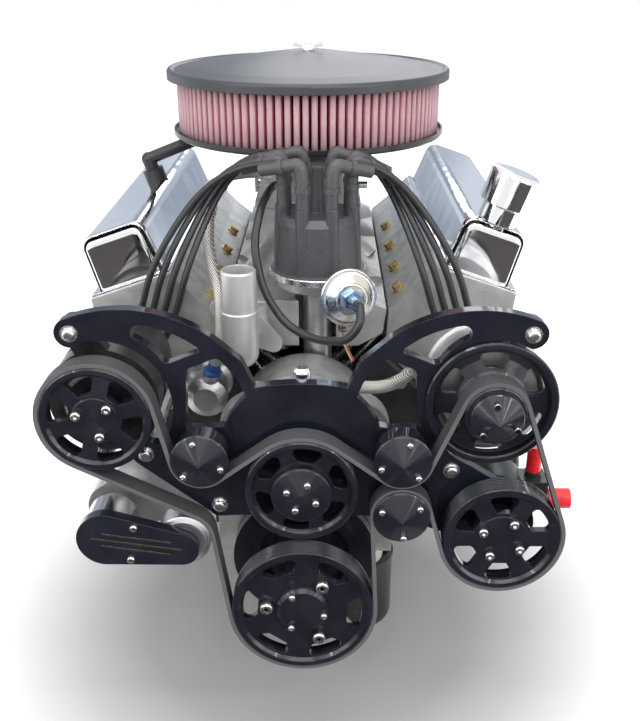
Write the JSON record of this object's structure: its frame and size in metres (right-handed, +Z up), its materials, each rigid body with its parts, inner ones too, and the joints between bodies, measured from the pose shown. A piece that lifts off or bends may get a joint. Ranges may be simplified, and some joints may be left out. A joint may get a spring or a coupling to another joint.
{
  "type": "v8 engine",
  "caption": "Complete V8 engine with belt-driven accessories on a winged front bracket, round air cleaner, timing set, valve train and turning crankshaft.",
  "frame": {"origin": "centre of the crankshaft's rear flange face, on the crankshaft axis", "axes": "+Y along the crankshaft towards the flywheel end, +Z up, +X to the driver's side, so the belt drive faces -Y"},
  "size_m": [0.5607, 0.7285, 0.7517],
  "materials": {
    "black_anodised": "satin",
    "black_base": "gloss",
    "satin_black_lid": "satin",
    "machined_aluminium": "satin",
    "black_pulley": "satin",
    "zinc_bolts": "satin",
    "braided_steel": "satin",
    "ground_steel": "satin",
    "cast_iron": "cast",
    "cast_aluminium": "cast",
    "chrome_pipe": "polished",
    "forged_steel": "satin",
    "black_plastic": "satin",
    "rotor_plastic": "satin",
    "belt_rubber": "matt",
    "block_paint": "satin",
    "red_pleats": "matt",
    "blue_steel": "satin",
    "gasket": "matt",
    "chrome_cover": "polished",
    "filter_paint": "gloss",
    "pan_paint": "satin",
    "wire_rubber": "satin",
    "red_cap": "gloss",
    "boot_rubber": "matt",
    "cast_cover": "cast",
    "zinc_plated": "satin",
    "hose_rubber": "matt"
  },
  "bodies": {
    "root": {"accessory_bracket": "black_anodised", "air_cleaner_base": "black_base", "air_cleaner_lid": "satin_black_lid", "alternator_body": "machined_aluminium", "bracket_fixings": "zinc_bolts", "braided_hoses": "braided_steel", "carburetor_body": "cast_aluminium", "compressor_body": "machined_aluminium", "coolant_pipe": "chrome_pipe", "cylinder_heads": "cast_aluminium", "distributor_cap": "black_plastic", "distributor_housing": "machined_aluminium", "drive_belt": "belt_rubber", "engine_block": "block_paint", "filter_element": "red_pleats", "fuel_pump": "blue_steel", "head_gaskets": "gasket", "intake_manifold": "cast_aluminium", "left_valve_cover": "chrome_cover", "lifters": "ground_steel", "main_bearing_caps": "cast_iron", "oil_filter": "filter_paint", "oil_pan": "pan_paint", "oil_pump": "cast_iron", "pistons": "machined_aluminium", "plug_wires": "wire_rubber", "port_caps": "red_cap", "pushrods": "ground_steel", "right_valve_cover": "chrome_cover", "rocker_arms": "forged_steel", "spark_plugs": "boot_rubber", "steering_pump_body": "machined_aluminium", "tensioner_base": "machined_aluminium", "thermostat_housing": "cast_cover", "timing_chain": "ground_steel", "timing_cover": "cast_cover", "vacuum_advance": "zinc_plated", "vacuum_lines": "hose_rubber", "valves": "ground_steel", "water_pump_body": "cast_cover"},
    "crank": {"crankshaft": "forged_steel", "crank_sprocket": "ground_steel", "harmonic_balancer": "black_pulley", "crank_pulley": "black_pulley"},
    "cam": {"camshaft": "cast_iron", "cam_sprocket": "ground_steel"},
    "water_pump": {"water_pump_pulley": "black_pulley", "water_pump_impeller": "cast_iron"},
    "compressor": {"compressor_pulley": "black_pulley"},
    "alternator": {"alternator_pulley": "black_pulley"},
    "steering": {"steering_pulley": "black_pulley"},
    "idler_left": {"left_idler_pulley": "black_pulley"},
    "idler_right_upper": {"right_upper_idler_pulley": "black_pulley"},
    "idler_right_lower": {"right_lower_idler_pulley": "black_pulley"},
    "tensioner_arm": {"tensioner_arm": "black_anodised"},
    "tensioner_pulley": {"tensioner_pulley": "black_pulley"},
    "distributor": {"distributor_rotor": "rotor_plastic"},
    "throttle": {"throttle_shaft": "zinc_plated"},
    "wing_nut": {"wing_nut": "chrome_cover"},
    "filler_cap": {"oil_filler_cap": "chrome_cover"}
  },
  "joints": [
    {"name": "crank_spin", "type": "hinge", "parent": "root", "child": "crank", "pos_m": [0, 0, 0], "axis": [0, 1, 0], "continuous": true},
    {"name": "cam_spin", "type": "hinge", "parent": "root", "child": "cam", "pos_m": [0, 0, 0.1124], "axis": [0, 1, 0], "continuous": true},
    {"name": "water_pump_spin", "type": "hinge", "parent": "root", "child": "water_pump", "pos_m": [0, -0.696, 0.1473], "axis": [0, 1, 0], "continuous": true},
    {"name": "compressor_spin", "type": "hinge", "parent": "root", "child": "compressor", "pos_m": [-0.1996, -0.696, 0.2274], "axis": [0, 1, 0], "continuous": true},
    {"name": "alternator_spin", "type": "hinge", "parent": "root", "child": "alternator", "pos_m": [0.188, -0.696, 0.2335], "axis": [0, 1, 0], "continuous": true},
    {"name": "steering_spin", "type": "hinge", "parent": "root", "child": "steering", "pos_m": [0.2045, -0.696, 0.0915], "axis": [0, 1, 0], "continuous": true},
    {"name": "idler_left_spin", "type": "hinge", "parent": "root", "child": "idler_left", "pos_m": [-0.1003, -0.696, 0.1826], "axis": [0, 1, 0], "continuous": true},
    {"name": "idler_right_upper_spin", "type": "hinge", "parent": "root", "child": "idler_right_upper", "pos_m": [0.1003, -0.696, 0.1826], "axis": [0, 1, 0], "continuous": true},
    {"name": "idler_right_lower_spin", "type": "hinge", "parent": "root", "child": "idler_right_lower", "pos_m": [0.101, -0.696, 0.1185], "axis": [0, 1, 0], "continuous": true},
    {"name": "tensioner_swing", "type": "hinge", "parent": "root", "child": "tensioner_arm", "pos_m": [-0.1975, -0.696, 0.1007], "axis": [0, 1, 0], "range_deg": [0, 15], "stiffness_Nm_per_rad": 25, "springref_deg": -20.05},
    {"name": "tensioner_pulley_spin", "type": "hinge", "parent": "tensioner_arm", "child": "tensioner_pulley", "pos_m": [-0.1214, -0.696, 0.0895], "axis": [0, 1, 0], "continuous": true},
    {"name": "distributor_spin", "type": "hinge", "parent": "root", "child": "distributor", "pos_m": [0.014, -0.478, 0.3], "axis": [0, 0, 1], "continuous": true},
    {"name": "throttle_turn", "type": "hinge", "parent": "root", "child": "throttle", "pos_m": [0, -0.284, 0.358], "axis": [1, 0, 0], "range_deg": [0, 75], "stiffness_Nm_per_rad": 0.05, "springref_deg": -28.65},
    {"name": "wing_nut_turn", "type": "hinge", "parent": "root", "child": "wing_nut", "pos_m": [0, -0.258, 0.51], "axis": [0, 0, 1], "continuous": true},
    {"name": "filler_cap_lift", "type": "slide", "parent": "root", "child": "filler_cap", "axis": [0.3289, 0, 0.9444], "range_m": [0, 0.03]}
  ],
  "couplings": [
    {"joint": "cam_spin", "follows": "crank_spin", "ratio": 0.5},
    {"joint": "water_pump_spin", "follows": "crank_spin", "ratio": 1.3141},
    {"joint": "compressor_spin", "follows": "crank_spin", "ratio": 1.3484},
    {"joint": "alternator_spin", "follows": "crank_spin", "ratio": 2.3889},
    {"joint": "steering_spin", "follows": "crank_spin", "ratio": 1.2305},
    {"joint": "idler_left_spin", "follows": "crank_spin", "ratio": -2.6327},
    {"joint": "idler_right_upper_spin", "follows": "crank_spin", "ratio": -2.6327},
    {"joint": "idler_right_lower_spin", "follows": "crank_spin", "ratio": -2.6327},
    {"joint": "tensioner_pulley_spin", "follows": "crank_spin", "ratio": -2.5461},
    {"joint": "distributor_spin", "follows": "crank_spin", "ratio": 0.5}
  ]
}
